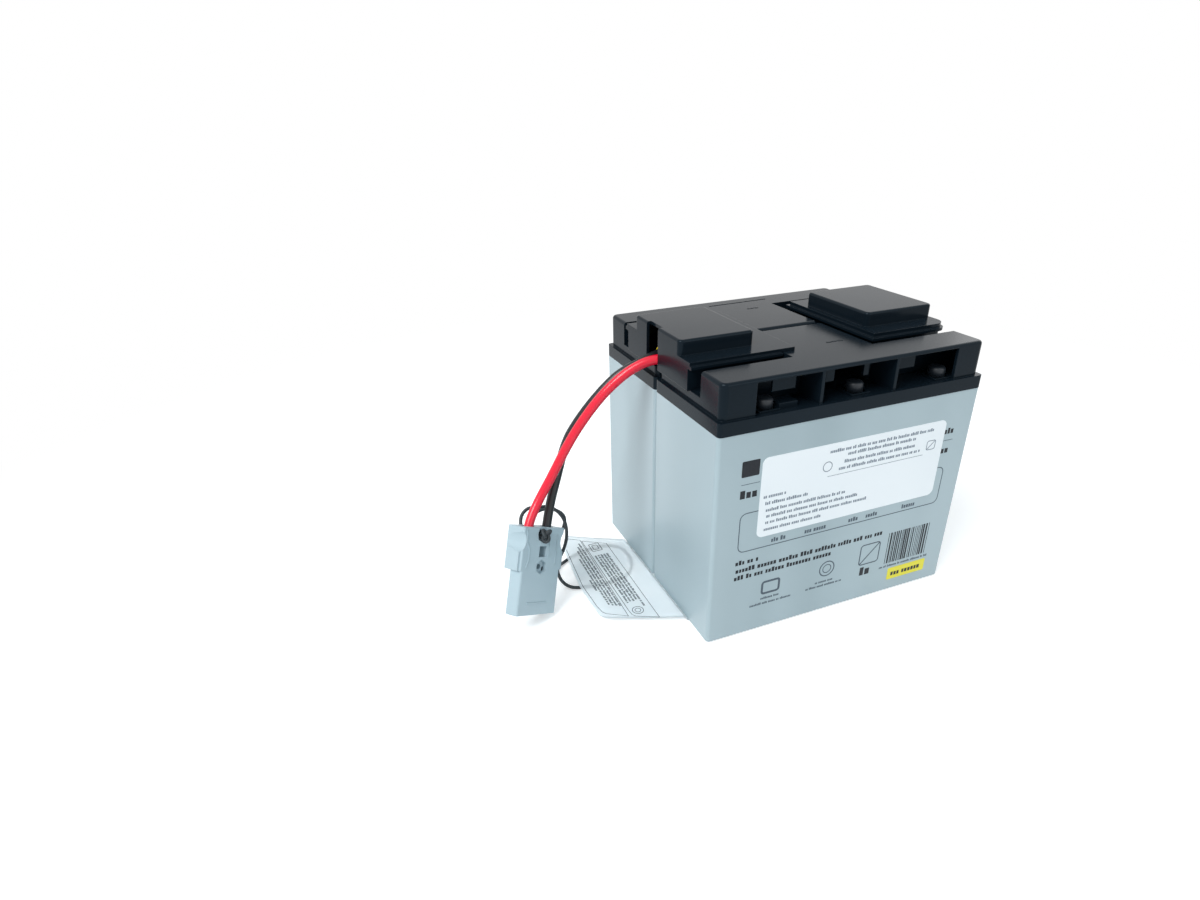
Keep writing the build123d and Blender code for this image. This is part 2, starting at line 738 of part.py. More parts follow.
with BuildPart() as pull_cord:
    with BuildLine():
        FilletPolyline(*pull_cord_points, radius=corner_radii(pull_cord_points))
    with BuildSketch(tangent_plane(pull_cord_points)) as pull_section:
        Circle(cord_diameter / 2)
    sweep()
save(pull_cord.part, "pull_cord")

# Knot of the pull cord: a core with crossed turns of the cord round it
knot_plane = Plane(
    connector.from_local_coords((housing_middle, knot_back, cord_hole_height)),
    x_dir=connector.x_dir,
    z_dir=-connector.y_dir,
)
with BuildPart() as cord_knot:
    with BuildSketch(knot_plane) as knot_core:
        Circle(knot_radius - cord_diameter / 4)
    extrude(amount=knot_back - knot_front)
    for tilt in (0, 60, 120):
        turn_plane = knot_plane.offset((knot_back - knot_front) / 2 + cord_diameter / 4)
        with Locations(turn_plane.rotated((55, 0, tilt))):
            Torus(knot_turn_radius, cord_diameter / 2)
    split(bisect_by=knot_plane, keep=Keep.TOP)
save(cord_knot.part, "cord_knot")

# Pull film: flat under the pack, lifted beyond its left end, where its tab lies over the cord
film_lift_start = -half_length + case_draft
film_lift_end = film_lift_start - film_rise_length
with BuildPart() as pull_film:
    with BuildSketch(Plane.XZ) as film_side:
        with BuildLine() as film_profile:
            Polyline(
                (film_right, 0),
                (film_lift_start, 0),
                (film_lift_end, film_lift),
                (film_tab[2][0], film_lift),
                (film_tab[2][0], film_lift + film_thickness),
                (film_lift_end, film_lift + film_thickness),
                (film_lift_start, film_thickness),
                (film_right, film_thickness),
                close=True,
            )
        make_face()
    extrude(amount=battery_width, both=True)
    with BuildSketch(Plane.XY) as film_plan:
        with BuildLine() as film_outline:
            Polyline(
                (film_right, film_back),
                (-half_length, film_back),
                *film_tab,
                (-half_length, film_front),
                (film_right, film_front),
                close=True,
            )
        make_face()
        fillet(film_plan.vertices().group_by(Axis.X)[1].sort_by(Axis.Y)[0], film_corner)
    extrude(amount=film_lift + film_thickness, mode=Mode.INTERSECT)
save(pull_film.part, "pull_film")

# Labels, laid on the drafted front face
label_plane = Plane((0, case_front, case_top), x_dir=(1, 0, 0), z_dir=(0, -case_height, -case_draft))
for label_name, label_edges, label_corner in (
    ("white_label", white_label, white_label_corner),
    ("yellow_label", yellow_label, yellow_label_corner),
):
    left, right, bottom, top = label_edges
    with BuildPart() as label:
        with BuildSketch(label_plane) as label_shape:
            with Locations(((left + right) / 2, (bottom + top) / 2 - case_top)):
                RectangleRounded(right - left, top - bottom, label_corner)
        extrude(amount=label_thickness)
    save(label.part, label_name)
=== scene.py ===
import json
import math
import random

import bmesh
import bpy
from mathutils import Matrix, Vector


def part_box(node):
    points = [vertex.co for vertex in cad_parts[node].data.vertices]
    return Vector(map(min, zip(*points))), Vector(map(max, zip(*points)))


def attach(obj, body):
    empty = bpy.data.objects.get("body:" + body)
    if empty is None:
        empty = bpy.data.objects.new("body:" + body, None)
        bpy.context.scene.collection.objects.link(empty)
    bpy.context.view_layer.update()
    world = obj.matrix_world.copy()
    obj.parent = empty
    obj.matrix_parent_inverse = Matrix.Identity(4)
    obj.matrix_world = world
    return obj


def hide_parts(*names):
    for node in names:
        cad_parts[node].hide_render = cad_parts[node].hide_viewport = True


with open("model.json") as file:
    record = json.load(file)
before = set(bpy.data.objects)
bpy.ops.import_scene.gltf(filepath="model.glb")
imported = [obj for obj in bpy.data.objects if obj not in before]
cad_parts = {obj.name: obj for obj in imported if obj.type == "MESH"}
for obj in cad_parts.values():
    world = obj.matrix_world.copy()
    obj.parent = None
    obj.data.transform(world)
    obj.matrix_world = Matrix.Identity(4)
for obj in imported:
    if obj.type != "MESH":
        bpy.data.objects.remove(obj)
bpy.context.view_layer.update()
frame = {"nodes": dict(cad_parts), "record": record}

nodes = frame["nodes"]
record = frame["record"]
MM = 0.001

# Camera at the photograph's place, in metres, and at its angle
CAMERA_PLACE = Vector((-0.2698, -0.3692, 0.2979))
CAMERA_AZIMUTH = math.radians(21.08)
CAMERA_DIP = math.radians(26.01)
CAMERA_ROLL = math.radians(-1.26)
CAMERA_NEAREST = 0.01
FOCAL_PIXELS = 714.5
IMAGE_WIDTH = 1200
SENSOR_WIDTH = 36.0


def add_object(name, data):
    """New object in the scene."""
    made = bpy.data.objects.new(name, data)
    bpy.context.scene.collection.objects.link(made)
    return made


def add_camera():
    """Camera that looks along its azimuth and dip, with a slight roll."""
    forward = Vector(
        (
            math.sin(CAMERA_AZIMUTH) * math.cos(CAMERA_DIP),
            math.cos(CAMERA_AZIMUTH) * math.cos(CAMERA_DIP),
            -math.sin(CAMERA_DIP),
        )
    )
    level_right = forward.cross(Vector((0, 0, 1))).normalized()
    level_up = level_right.cross(forward)
    right = math.cos(CAMERA_ROLL) * level_right + math.sin(CAMERA_ROLL) * level_up
    up = math.cos(CAMERA_ROLL) * level_up - math.sin(CAMERA_ROLL) * level_right
    data = bpy.data.cameras.new("camera")
    data.sensor_width = SENSOR_WIDTH
    data.lens = FOCAL_PIXELS / IMAGE_WIDTH * SENSOR_WIDTH
    data.clip_start = CAMERA_NEAREST
    camera = add_object("camera", data)
    turn = Matrix((right, up, -forward)).transposed().to_4x4()
    camera.matrix_world = Matrix.Translation(CAMERA_PLACE) @ turn
    bpy.context.scene.camera = camera


add_camera()
bpy.context.scene.view_settings.view_transform = "Standard"


# Finishes
def srgb(red, green, blue):
    """Linear colour of one written from 0 to 255."""
    parts = []
    for value in (red, green, blue):
        share = value / 255
        parts.append(share / 12.92 if share <= 0.04045 else ((share + 0.055) / 1.055) ** 2.4)
    return (*parts, 1.0)


def feed(tree, socket, value):
    """Links another node's output to a socket, or sets the socket to a number or colour."""
    if isinstance(value, bpy.types.NodeSocket):
        tree.links.new(value, socket)
    else:
        socket.default_value = value


def add_node(tree, kind, *values, **named):
    """Shader node fed in the order of its sockets, or by their names with _ for a space."""
    node = tree.nodes.new(f"ShaderNode{kind}")
    for socket, value in zip(node.inputs, values):
        feed(tree, socket, value)
    for name, value in named.items():
        feed(tree, node.inputs[name.replace("_", " ")], value)
    return node


def calculate(tree, operation, first, second):
    """Result of one sum on two values, each a number or a node's output."""
    node = add_node(tree, "Math", first, second)
    node.operation = operation
    return node.outputs["Value"]


class Finish:
    """A procedural material: constants go on the shader's own sockets, patterns are linked to them."""

    def __init__(self, name, **constants):
        self.name = name
        self.material = bpy.data.materials.new(name)
        self.material.use_nodes = True
        self.tree = self.material.node_tree
        self.tree.nodes.clear()
        self.shader = add_node(self.tree, "BsdfPrincipled", **constants)
        add_node(self.tree, "OutputMaterial", Surface=self.shader.outputs["BSDF"])
        self.place = add_node(self.tree, "TexCoord").outputs["Object"]
        self.last_normal = None

    def noise(self, scale, detail, roughness=0.5):
        """Cloudy pattern with that many features to the metre, one number or one for each axis."""
        factors = scale if hasattr(scale, "__len__") else (scale, scale, scale)
        mapping = add_node(self.tree, "Mapping", Vector=self.place, Scale=factors)
        texture = add_node(self.tree, "TexNoise", Scale=1.0, Detail=detail, Roughness=roughness)
        feed(self.tree, texture.inputs["Vector"], mapping.outputs["Vector"])
        return texture.outputs["Fac"]

    def weighted(self, first, share, second):
        """Two patterns added up, the first by its share and the second by the rest."""
        first_part = calculate(self.tree, "MULTIPLY", first, share)
        second_part = calculate(self.tree, "MULTIPLY", second, 1 - share)
        return calculate(self.tree, "ADD", first_part, second_part)

    def tone(self, pattern, *stops):
        """Base colour along a pattern, as pairs of place and colour."""
        ramp = add_node(self.tree, "ValToRGB", Fac=pattern)
        elements = ramp.color_ramp.elements
        while len(elements) < len(stops):
            elements.new(0.5)
        for element, (place, colour) in zip(elements, stops):
            element.position = place
            element.color = colour
        feed(self.tree, self.shader.inputs["Base Color"], ramp.outputs["Color"])

    def gloss(self, pattern, roughness, start, end):
        """Roughness between its lowest and highest, as a pattern goes from start to end."""
        low, high = roughness
        span = add_node(
            self.tree, "MapRange", Value=pattern, From_Min=start, From_Max=end, To_Min=low, To_Max=high
        )
        feed(self.tree, self.shader.inputs["Roughness"], span.outputs["Result"])

    def use_normal(self, node):
        """Gives the shader a node's normal, which later relief is added to."""
        self.last_normal = node.outputs["Normal"]
        feed(self.tree, self.shader.inputs["Normal"], self.last_normal)

    def edges(self, radius):
        """Takes the sharpness off edges, by a radius in millimetres; comes before any relief."""
        node = add_node(self.tree, "Bevel", Radius=radius * MM)
        node.samples = 4
        self.use_normal(node)

    def bump(self, pattern, strength, depth):
        """Adds relief, by a depth in millimetres, on top of what is there."""
        node = add_node(self.tree, "Bump", Height=pattern, Strength=strength, Distance=depth * MM)
        if self.last_normal is not None:
            feed(self.tree, node.inputs["Normal"], self.last_normal)
        self.use_normal(node)


def moulded(name, dark, light, roughness, grain, edge=0.0, **constants):
    """Moulded plastic: faint colour drift, uneven gloss, fine grain and edges that aren't sharp.

    Grain is the number of grains to the metre and their depth, and edge is a radius, both in millimetres.
    """
    finish = Finish(name, **constants)
    if edge:
        finish.edges(edge)
    drift = finish.noise(14, detail=1, roughness=0.4)
    finish.tone(drift, (0.2, dark), (0.8, light))
    smears = finish.noise((25, 25, 60), detail=1, roughness=0.4)
    finish.gloss(smears, roughness, start=0.1, end=0.9)
    grains, grain_depth = grain
    finish.bump(finish.noise(grains, detail=2, roughness=0.6), strength=0.4, depth=grain_depth)
    return finish


def metal(name, dark, light, roughness):
    """Plated metal: clouded tone, small dull spots and fine drawing marks."""
    finish = Finish(name, Metallic=1.0)
    finish.tone(finish.noise(180, detail=5, roughness=0.6), (0.3, dark), (0.7, light))
    finish.gloss(finish.noise(420, detail=4, roughness=0.6), roughness, start=0.3, end=0.7)
    finish.bump(finish.noise((2600, 300, 300), detail=2), strength=0.4, depth=0.01)
    return finish


def polished_case():
    """Polished moulded walls, with upright streaks and broad smudges."""
    finish = Finish("case_plastic")
    finish.edges(0.6)
    streaks = finish.noise((30, 30, 2), detail=1, roughness=0.4)
    smudges = finish.noise((12, 12, 8), detail=1, roughness=0.4)
    tones = (0.25, srgb(152, 171, 178)), (0.5, srgb(162, 181, 188)), (0.75, srgb(171, 190, 197))
    finish.tone(finish.weighted(streaks, 0.6, smudges), *tones)
    finish.gloss(smudges, (0.29, 0.36), start=0.1, end=0.9)
    finish.bump(finish.noise(1400, detail=2, roughness=0.6), strength=0.4, depth=0.005)
    return finish


def cloudy_film():
    """Thin cloudy film, so that what lies under it shows softly."""
    finish = Finish("film", Transmission_Weight=0.5, IOR=1.25)
    clouds = finish.noise((22, 35, 22), detail=1, roughness=0.4)
    finish.tone(clouds, (0.2, srgb(228, 238, 243)), (0.8, srgb(240, 247, 250)))
    finish.gloss(clouds, (0.29, 0.36), start=0.1, end=0.9)
    finish.bump(finish.noise(70, detail=1, roughness=0.4), strength=0.25, depth=0.1)
    return finish


def foam_tape():
    """White foam with open cells."""
    finish = Finish("foam", Roughness=0.9)
    finish.tone(finish.noise(900, detail=3), (0.3, srgb(206, 210, 208)), (0.7, srgb(230, 232, 230)))
    finish.bump(finish.noise(1500, detail=2), strength=0.8, depth=0.2)
    return finish


def braided_cord():
    """Dark elastic cord, mottled and rough as a fine braid is."""
    finish = Finish("cord_black", Roughness=0.62)
    finish.tone(finish.noise(1400, detail=3), (0.3, srgb(32, 38, 42)), (0.7, srgb(58, 66, 71)))
    finish.bump(finish.noise(2200, detail=2), strength=0.7, depth=0.1)
    return finish


# Worn ink against fresh ink: each part of its colour by the first, plus the second
WEAR_GAIN = 1.25
WEAR_LIFT = 0.004


def ink(name, colour, roughness):
    """Printing ink: nearly even tone with slight wear."""
    finish = Finish(name, Roughness=roughness, Specular_IOR_Level=0.25)
    worn = tuple(min(1.0, part * WEAR_GAIN + WEAR_LIFT) for part in colour[:3]) + (1.0,)
    finish.tone(finish.noise(500, detail=4, roughness=0.6), (0.35, colour), (0.75, worn))
    return finish


lid_finish = moulded(
    "lid_plastic", srgb(13, 22, 29), srgb(18, 28, 36), roughness=(0.14, 0.22), grain=(1300, 0.004), edge=0.5,
    Specular_IOR_Level=0.12, Specular_Tint=(0.72, 0.88, 1.0, 1.0),
)
cap_finish = moulded(
    "cap_rubber", srgb(17, 24, 30), srgb(27, 35, 43), roughness=(0.4, 0.52), grain=(900, 0.02), edge=0.3
)
connector_finish = moulded(
    "connector_plastic", srgb(162, 184, 194), srgb(174, 195, 204), roughness=(0.34, 0.46), grain=(1600, 0.01),
    edge=0.5,
)
sleeve_finish = moulded(
    "sleeve_yellow", srgb(222, 190, 20), srgb(236, 208, 38), roughness=(0.3, 0.42), grain=(900, 0.01)
)
red_finish = moulded(
    "lead_red", srgb(224, 14, 46), srgb(236, 26, 60), roughness=(0.2, 0.26), grain=(700, 0.01)
)
black_finish = moulded(
    "lead_black", srgb(17, 20, 23), srgb(28, 32, 36), roughness=(0.29, 0.36), grain=(700, 0.01)
)
label_finish = moulded(
    "label_white", srgb(230, 238, 243), srgb(238, 245, 249), roughness=(0.29, 0.36), grain=(600, 0.004)
)
yellow_finish = moulded(
    "label_yellow", srgb(222, 212, 30), srgb(232, 223, 48), roughness=(0.3, 0.4), grain=(600, 0.004)
)
terminal_finish = metal("terminal_metal", srgb(150, 152, 152), srgb(182, 184, 184), (0.34, 0.5))
bolt_finish = metal("bolt_steel", srgb(168, 168, 164), srgb(200, 200, 196), (0.29, 0.38))
link_finish = metal("link_copper", srgb(186, 140, 104), srgb(214, 166, 126), (0.29, 0.42))
lug_finish = metal("lug_copper", srgb(184, 182, 176), srgb(210, 208, 200), (0.29, 0.4))
contact_finish = metal("contact_silver", srgb(196, 197, 194), srgb(222, 222, 218), (0.16, 0.26))
spring_finish = metal("spring_steel", srgb(150, 152, 155), srgb(182, 184, 186), (0.29, 0.36))
case_finish = polished_case()
foam_finish = foam_tape()
film_finish = cloudy_film()
cord_finish = braided_cord()
dark_ink = ink("ink_dark", srgb(16, 22, 30), 0.4)
grey_ink = ink("ink_grey", srgb(74, 86, 97), 0.42)
pale_ink = ink("ink_pale", srgb(118, 130, 142), 0.42)
film_ink = ink("ink_film", srgb(58, 70, 80), 0.45)

# Nodes that keep their shape, by finish
carried_nodes = {
    case_finish: ("front_case", "back_case"),
    foam_finish: ("lower_bonding_pad", "upper_bonding_pad"),
    lid_finish: ("left_cover", "right_cover"),
    terminal_finish: (
        "front_left_terminal", "front_right_terminal", "back_left_terminal", "back_right_terminal"
    ),
    link_finish: ("link_bar",),
    bolt_finish: ("spring_washers", "terminal_bolts"),
    lug_finish: ("red_lug", "black_lug"),
    sleeve_finish: ("red_lug_sleeve", "black_lug_sleeve"),
    connector_finish: ("connector_housing",),
    contact_finish: ("red_contact", "black_contact"),
    spring_finish: ("contact_springs",),
    label_finish: ("white_label",),
    yellow_finish: ("yellow_label",),
}
for finish, node_names in carried_nodes.items():
    for node_name in node_names:
        for material_slot in nodes[node_name].material_slots:
            material_slot.material = finish.material


def add_piece(name, data, finish, node=None):
    """Piece with a finish, in place of a node where one is named."""
    data.materials.append(finish.material)
    piece = add_object(name, data)
    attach(piece, "root")
    if node:
        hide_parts(node)
    return piece


def mesh_data(name, mesh):
    """Blender mesh of a bmesh, which is freed."""
    data = bpy.data.meshes.new(name)
    mesh.to_mesh(data)
    mesh.free()
    return data


def cord_curve(name, points, diameter, finish, node, closed=False, roundness=6, steps=10):
    """Smooth round cord along the runs of a route in millimetres, open or closed on itself."""
    data = bpy.data.curves.new(name, "CURVE")
    data.dimensions = "3D"
    data.bevel_depth = diameter / 2 * MM
    data.bevel_resolution = roundness
    data.resolution_u = steps
    data.use_fill_caps = not closed
    spline = data.splines.new("NURBS")
    spline.points.add(len(points) - 1)
    for point, place in zip(spline.points, points):
        point.co = (place[0] * MM, place[1] * MM, place[2] * MM, 1.0)
    spline.order_u = 3
    spline.use_cyclic_u = closed
    spline.use_endpoint_u = not closed
    return add_piece(name, data, finish, node)


# How far prints sink into the face that carries them, and stand proud of it, in millimetres
PRINT_SUNK = 0.02
PRINT_PROUD = 0.04


def plates(name, shapes, place, finish, base=0.0, sunk=PRINT_SUNK, proud=PRINT_PROUD):
    """Thin closed plates of given outlines, just proud of the face that carries them, as one piece."""
    mesh = bmesh.new()
    for outline in shapes:
        back = [mesh.verts.new(place(u, v, base - sunk)) for u, v in outline]
        front = [mesh.verts.new(place(u, v, base + proud)) for u, v in outline]
        mesh.faces.new(front)
        mesh.faces.new(back[::-1])
        for a in range(len(outline)):
            b = (a + 1) % len(outline)
            mesh.faces.new((back[a], back[b], front[b], front[a]))
    bmesh.ops.recalc_face_normals(mesh, faces=mesh.faces)
    return add_piece(name, mesh_data(name, mesh), finish)


# Outlines in a plane, in millimetres. At a sharp corner a line's mitre stops at this share
MITRE_LIMIT = 0.4
RING_STEPS = 24


def stroke(points, width, closed=False):
    """Line of a given width along points, as strips that meet at the corners."""
    count = len(points)
    sides = []
    for a, point in enumerate(points):
        before = points[a - 1] if a or closed else None
        after = points[(a + 1) % count] if a < count - 1 or closed else None
        runs = []
        for first, second in ((before, point), (point, after)):
            if first is not None and second is not None:
                runs.append((Vector(second) - Vector(first)).normalized())
        normals = [Vector((-run.y, run.x)) for run in runs]
        middle = sum(normals, Vector((0, 0))).normalized()
        reach = width / 2 / max(MITRE_LIMIT, middle.dot(normals[0]))
        sides.append((Vector(point) + middle * reach, Vector(point) - middle * reach))
    strips = []
    for a in range(count if closed else count - 1):
        (left_a, right_a), (left_b, right_b) = sides[a], sides[(a + 1) % count]
        strips.append([tuple(left_a), tuple(left_b), tuple(right_b), tuple(right_a)])
    return strips


def circle(middle_u, middle_v, radius, steps):
    """Points round a circle."""
    turns = [math.tau * a / steps for a in range(steps)]
    return [(middle_u + radius * math.cos(turn), middle_v + radius * math.sin(turn)) for turn in turns]


def ring(middle_u, middle_v, radius, width):
    """Circle drawn as a line."""
    return stroke(circle(middle_u, middle_v, radius, RING_STEPS), width, closed=True)


def rounded(left, right, bottom, top, corner, steps=4):
    """Outline of a rectangle with round corners, anticlockwise."""
    outline = []
    for middle_u, middle_v, start in (
        (right - corner, top - corner, 0),
        (left + corner, top - corner, 90),
        (left + corner, bottom + corner, 180),
        (right - corner, bottom + corner, 270),
    ):
        for step in range(steps + 1):
            angle = math.radians(start + 90 * step / steps)
            outline.append((middle_u + corner * math.cos(angle), middle_v + corner * math.sin(angle)))
    return outline


def plain(left, right, bottom, top):
    """Outline of a plain rectangle."""
    return [(left, bottom), (right, bottom), (right, top), (left, top)]


# Connector frame. Its foot, in millimetres, is where the wide face's plane meets the housing's left
# side and the mating end, and its directions run through the housing, along it and across the face
mounts = {mount["name"]: mount for mount in record["mounts"]}
CONNECTOR_FOOT = Vector((-195.7, -27.2, 17.8))
CONNECTOR_THROUGH = Vector(mounts["connector_screw_hole"]["axis"])
CONNECTOR_ALONG = -Vector(mounts["mating_face"]["axis"])
CONNECTOR_ACROSS = CONNECTOR_THROUGH.cross(CONNECTOR_ALONG)

# Ribs moulded on the wide face, as their points and widths, the first along the grip's edge
RIBS = (
    (((3.1, 52.6), (3.2, 46.0), (5.6, 42.4), (6.4, 37.6), (5.9, 33.0), (4.4, 29.6)), 0.8),
    (((23.5, 48.6), (23.0, 36.0)), 0.7),
    (((30.0, 50.0), (29.6, 31.0)), 0.7),
    (((8.4, 7.5), (25.7, 7.5)), 0.8),
)
RIB_SUNK = 0.1
RIB_PROUD = 0.45


def connector_place(across, along, lift):
    """Point in metres on the connector's wide face, lifted off it."""
    on_face = CONNECTOR_FOOT + CONNECTOR_ACROSS * across + CONNECTOR_ALONG * along
    return (on_face - CONNECTOR_THROUGH * lift) * MM


rib_strips = [strip for points, width in RIBS for strip in stroke(points, width)]
connector_ribs = plates(
    "connector_ribs", rib_strips, connector_place, connector_finish, sunk=RIB_SUNK, proud=RIB_PROUD
)

# Knot: the cord's own thickness, crossed over itself three times where the node has its knot
KNOT_POINTS = 36
KNOT_SCALE = 1.25
KNOT_STRETCH = 1.1


def knot_route():
    """Control points in millimetres of a trefoil knot, face on to the connector's wide side."""
    low, high = [Vector(corner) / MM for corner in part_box("cord_knot")]
    route = []
    for a in range(KNOT_POINTS):
        angle = math.tau * a / KNOT_POINTS
        across = math.sin(angle) + 2 * math.sin(2 * angle)
        along = KNOT_STRETCH * (math.cos(angle) - 2 * math.cos(2 * angle))
        depth = math.sin(3 * angle)
        offset = CONNECTOR_ACROSS * across + CONNECTOR_ALONG * along + CONNECTOR_THROUGH * depth
        route.append((low + high) / 2 + KNOT_SCALE * offset)
    return route


# Cords: the routes of the solids, in millimetres, from where each one leaves the object. By the
# connector the pull cord's loop leaves its solid by a few millimetres, as the photograph shows it
LEAD_DIAMETER = 6.0
PULL_DIAMETER = 2.3
RED_ROUTE = (
    (-72.4, -7.6, 157.7),
    (-79.9, -2.6, 157.7),
    (-88.7, 0.7, 158.0),
    (-97.7, 3.0, 155.9),
    (-109.2, 4.7, 149.9),
    (-122.7, 7.0, 138.0),
    (-135.3, 10.0, 121.3),
    (-145.3, 12.0, 105.0),
    (-156.0, 13.0, 85.2),
    (-166.7, 11.0, 70.2),
    (-175.7, 4.2, 59.5),
    (-179.3, -0.8, 48.6),
)
BLACK_ROUTE = (
    (-74.6, 12.4, 157.7),
    (-83.3, 10.2, 157.7),
    (-92.1, 9.1, 155.6),
    (-98.5, 9.3, 153.2),
    (-104.1, 10.3, 150.8),
    (-112.2, 11.6, 146.2),
    (-123.5, 13.7, 134.9),
    (-134.7, 16.5, 120.4),
    (-143.6, 19.3, 104.9),
    (-151.1, 18.3, 80.1),
    (-155.9, 16.5, 67.4),
    (-161.8, 10.3, 52.2),
    (-165.5, 5.3, 41.2),
)
PULL_ROUTE = (
    (-168.2, -0.6, 54.0),
    (-171.4, 5.0, 52.5),
    (-175.7, 12.2, 50.7),
    (-177.4, 16.0, 53.6),
    (-175.4, 20.6, 58.0),
    (-170.2, 22.3, 61.6),
    (-163.3, 23.2, 59.6),
    (-155.9, 26.3, 57.3),
    (-149.2, 27.1, 52.4),
    (-144.6, 25.0, 45.3),
    (-144.5, 20.4, 36.8),
    (-148.4, 15.6, 29.2),
    (-153.7, 12.7, 23.2),
    (-155.4, 13.5, 15.0),
    (-153.4, 13.7, 6.0),
    (-150.4, 11.2, 2.0),
    (-146.5, 7.2, 1.2),
    (-139.0, 4.6, 1.2),
    (-126.0, 2.6, 1.2),
    (-113.0, 3.0, 1.2),
    (-103.5, 8.0, 1.2),
    (-97.6, 18.1, 1.2),
    (-95.8, 30.0, 1.2),
    (-98.5, 40.5, 1.2),
    (-107.0, 46.2, 1.2),
    (-121.0, 46.5, 1.2),
    (-135.0, 42.5, 1.2),
    (-147.0, 35.0, 1.5),
    (-153.5, 29.0, 6.0),
    (-156.8, 24.5, 14.5),
    (-155.6, 21.5, 24.5),
    (-149.8, 22.9, 33.5),
    (-143.8, 26.2, 40.8),
    (-143.6, 29.4, 46.6),
    (-150.6, 31.0, 51.6),
    (-158.8, 31.0, 53.2),
    (-167.8, 27.8, 50.7),
    (-173.1, 20.2, 50.3),
    (-172.0, 12.1, 50.2),
    (-168.8, 6.1, 51.1),
    (-165.6, 0.5, 52.6),
)
knot_piece = cord_curve(
    "knot", knot_route(), PULL_DIAMETER, cord_finish, "cord_knot", closed=True, roundness=5, steps=6
)
red_lead = cord_curve("red_lead_wire", RED_ROUTE, LEAD_DIAMETER, red_finish, "red_lead")
black_lead = cord_curve("black_lead_wire", BLACK_ROUTE, LEAD_DIAMETER, black_finish, "black_lead")
pull_cord = cord_curve("pull_cord_loop", PULL_ROUTE, PULL_DIAMETER, cord_finish, "pull_cord")

# Lids, in millimetres: the plain wells and tabs of the solids are cut away behind the windows, and
# low collars, a step and tabs as in the photograph stand in their place. Rooms and the step are given
# by their left and right, tabs by their middle and width, and depths by y on the back lid
WINDOW_ROOMS = ((-67.0, -27.0), (-24.0, 23.5), (26.5, 74.5))
ROOM_DEPTH = (72.45, 54.55)
BAND_TOP = 146.0
CEILING = 165.0
ROOM_OVERLAP = 0.02
DETAIL_OVERLAP = 0.06
CAP_PLACES = (-57.03, 3.3, 63.63)
CAP_Y = 66.0
COLLAR_OUTER = 6.5
COLLAR_INNER = 5.5
COLLAR_HEIGHT = 1.0
STEP_WIDTH = (-50.4, -38.5)
STEP_DEPTH = (71.0, 61.0)
STEP_HEIGHT = 3.2
TABS = ((-45.83, 15.0), (-15.7, 5.6), (9.2, 3.6), (38.23, 11.6))
TAB_DEPTH = (67.5, 66.0)
TAB_FOOT = 155.2

# Valve cap's radii and heights, from its top to its foot
CAP_PROFILE = ((3.2, 152.5), (4.3, 152.2), (4.8, 151.5), (5.0, 150.6), (5.0, 145.9))
CAP_STEPS = 40


def add_box(mesh, x_range, y_range, z_range, side=1):
    """Closed box in millimetres, on the back or, with side -1, on the front."""
    ranges = (x_range, sorted(side * y for y in y_range), z_range)
    for vertex in bmesh.ops.create_cube(mesh, size=1.0)["verts"]:
        shares = zip(vertex.co, ranges)
        vertex.co = Vector([((low + high) / 2 + share * (high - low)) * MM for share, (low, high) in shares])


def opened_lid(node_name, side):
    """Lid with empty rooms behind its windows."""
    rooms = bmesh.new()
    for room in WINDOW_ROOMS:
        add_box(rooms, room, ROOM_DEPTH, (BAND_TOP - ROOM_OVERLAP, CEILING + ROOM_OVERLAP), side)
    cutter = add_object("rooms", mesh_data("rooms", rooms))
    whole = add_object("whole_lid", nodes[node_name].data.copy())
    cut = whole.modifiers.new("rooms", "BOOLEAN")
    cut.operation = "DIFFERENCE"
    cut.solver = "EXACT"
    cut.object = cutter
    opened = bpy.data.meshes.new_from_object(whole.evaluated_get(bpy.context.evaluated_depsgraph_get()))
    opened.materials.clear()
    for helper in (whole, cutter):
        helper_data = helper.data
        bpy.data.objects.remove(helper)
        bpy.data.meshes.remove(helper_data)
    add_piece(f"{node_name}_dressed", opened, lid_finish, node_name)


def lid_details(node_name, side):
    """Collars round the valve caps, the low step, and tabs that hang from the ceiling."""
    details = bmesh.new()
    foot = BAND_TOP - DETAIL_OVERLAP
    outer, inner = COLLAR_OUTER, COLLAR_INNER
    # Each wall as its range along the lid and its range across it, from the cap's middle
    walls = (
        ((-outer, outer), (-outer, -inner)),
        ((-outer, outer), (inner, outer)),
        ((-outer, -inner), (-inner, inner)),
        ((inner, outer), (-inner, inner)),
    )
    for cap in CAP_PLACES:
        for (left, right), (near, far) in walls:
            wall_depth = (CAP_Y + near, CAP_Y + far)
            add_box(details, (cap + left, cap + right), wall_depth, (foot, BAND_TOP + COLLAR_HEIGHT), side)
    add_box(details, STEP_WIDTH, STEP_DEPTH, (foot, BAND_TOP + STEP_HEIGHT), side)
    for middle, width in TABS:
        tab_width = (middle - width / 2, middle + width / 2)
        add_box(details, tab_width, TAB_DEPTH, (TAB_FOOT, CEILING + DETAIL_OVERLAP), side)
    name = f"{node_name}_details"
    add_piece(name, mesh_data(name, details), lid_finish)


